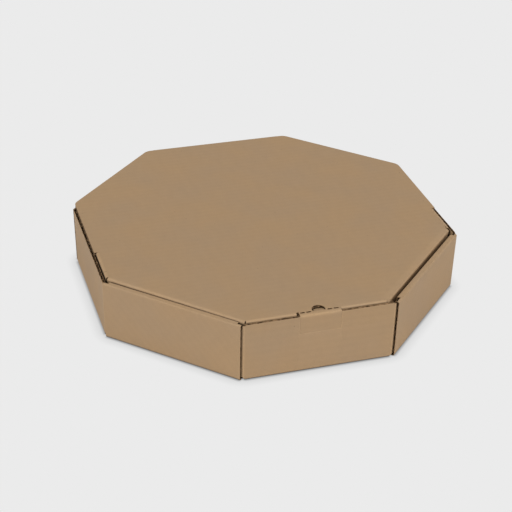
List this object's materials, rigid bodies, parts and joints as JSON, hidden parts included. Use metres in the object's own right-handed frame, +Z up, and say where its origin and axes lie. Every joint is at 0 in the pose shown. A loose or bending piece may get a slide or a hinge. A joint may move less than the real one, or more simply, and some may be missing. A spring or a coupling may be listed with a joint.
{
  "type": "octagon food box",
  "caption": "Low octagonal food box of kraft corrugated board, with rolled diagonal walls and a hinged lid that tucks in at the front and locks with a strap over the front wall.",
  "frame": {"origin": "centre of the underside", "axes": "+Z up, and the front wall with the lock strap faces -Y"},
  "size_m": [0.305, 0.305, 0.0547],
  "materials": {
    "kraft_board": "uncoated brown kraft liner, matt"
  },
  "bodies": {
    "tray": {"tray": "kraft_board"},
    "lid": {"lid": "kraft_board"}
  },
  "joints": [
    {"name": "lid_hinge", "type": "hinge", "parent": "tray", "child": "lid", "pos_m": [0, 0.1513, 0.0535], "axis": [-1, 0, 0], "range_deg": [0, 190]}
  ]
}
